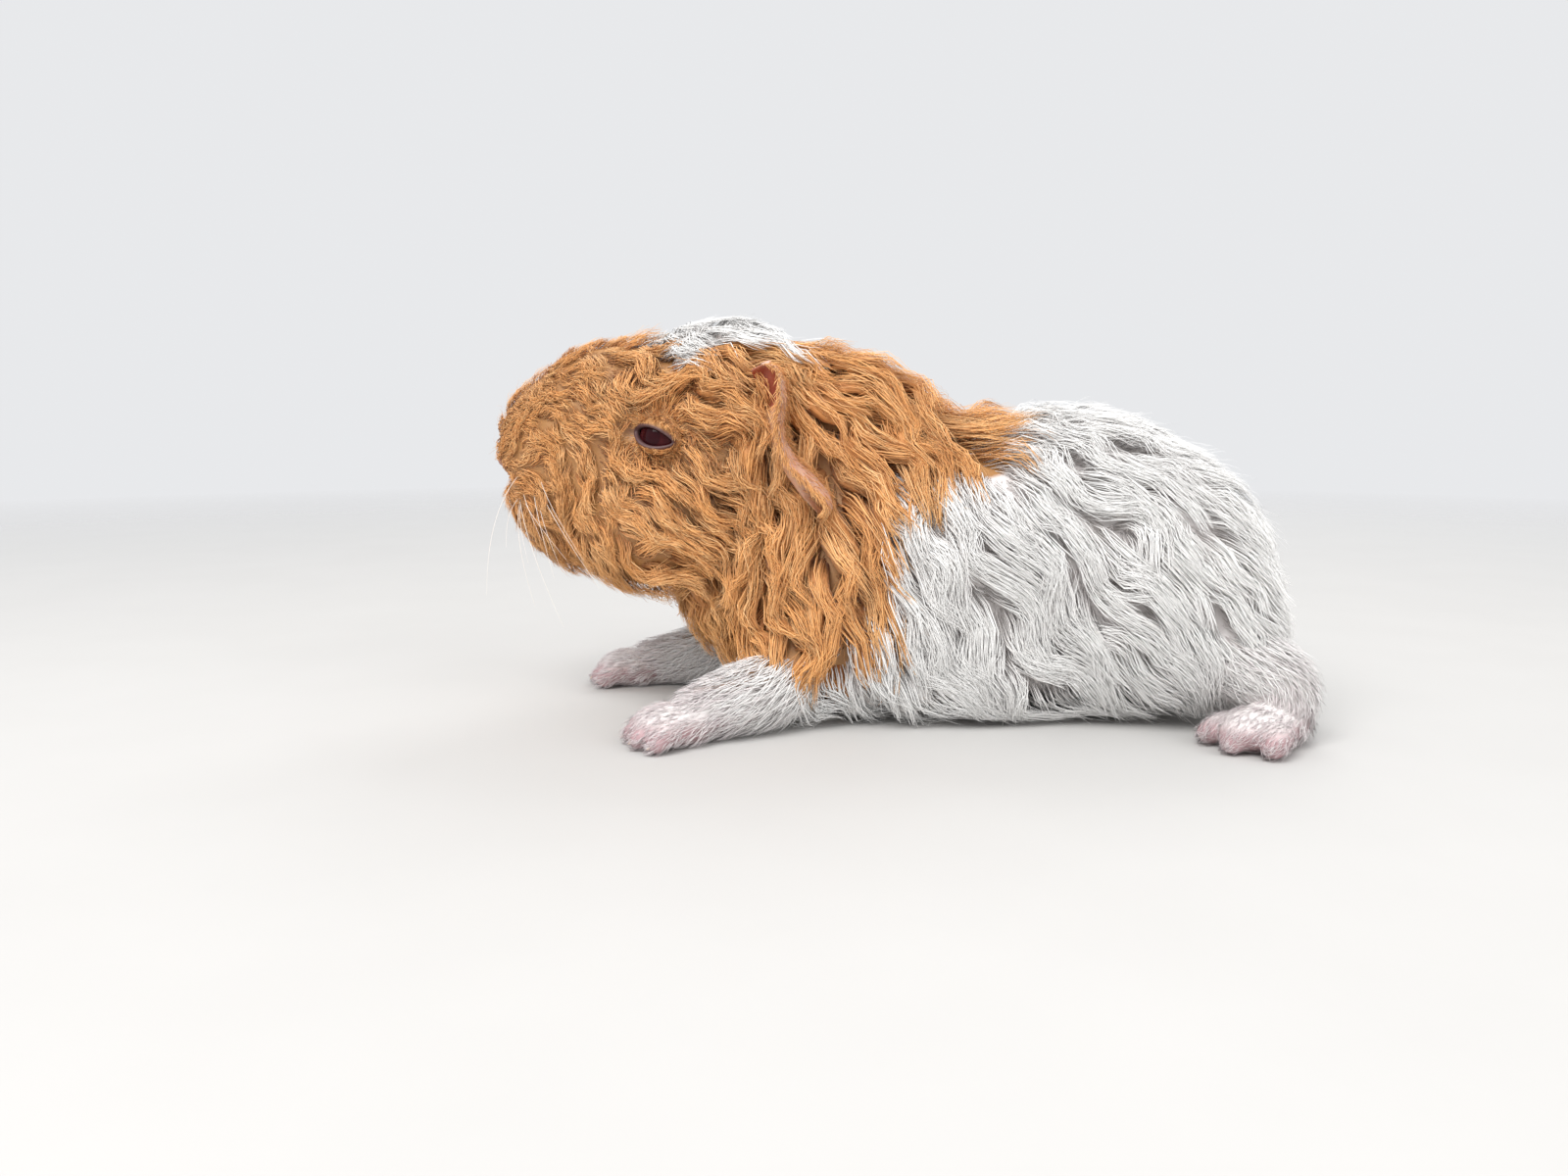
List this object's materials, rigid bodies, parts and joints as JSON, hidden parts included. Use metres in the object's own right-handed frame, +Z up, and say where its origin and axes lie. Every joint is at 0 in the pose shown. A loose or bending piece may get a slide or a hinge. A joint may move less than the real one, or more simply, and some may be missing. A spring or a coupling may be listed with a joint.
{
  "type": "merino guinea pig pup",
  "caption": "Still life-size guinea pig pup standing on all fours with its head raised, blunt muzzle, drooping ears, wavy golden coat on head and shoulders and white body.",
  "frame": {"origin": "centre of the bounding box in plan, on the floor under the soles", "axes": "+X along the body from the nose towards the rump, so the nose points along -X; +Z up; the animal's left side faces -Y"},
  "size_m": [0.1319, 0.078, 0.0653],
  "materials": {
    "gold_coat": "soft wavy hair, golden buff",
    "white_coat": "soft wavy hair, white",
    "pink_skin": "bare skin with fine down, satin",
    "eye": "wet gloss, very dark ruby brown",
    "claw": "translucent horn, pale"
  },
  "bodies": {
    "root": {"head": "gold_coat", "neck": "gold_coat", "torso": "white_coat", "ear_left": "pink_skin", "ear_right": "pink_skin", "eye_left": "eye", "eye_right": "eye", "foreleg_left": "white_coat", "forepaw_left": "white_coat", "foreclaw_left_1": "claw", "foreclaw_left_2": "claw", "foreclaw_left_3": "claw", "foreclaw_left_4": "claw", "foreleg_right": "white_coat", "forepaw_right": "white_coat", "foreclaw_right_1": "claw", "foreclaw_right_2": "claw", "foreclaw_right_3": "claw", "foreclaw_right_4": "claw", "hindleg_left": "white_coat", "hindpaw_left": "white_coat", "hindclaw_left_1": "claw", "hindclaw_left_2": "claw", "hindclaw_left_3": "claw", "hindleg_right": "white_coat", "hindpaw_right": "white_coat", "hindclaw_right_1": "claw", "hindclaw_right_2": "claw", "hindclaw_right_3": "claw"}
  },
  "joints": []
}
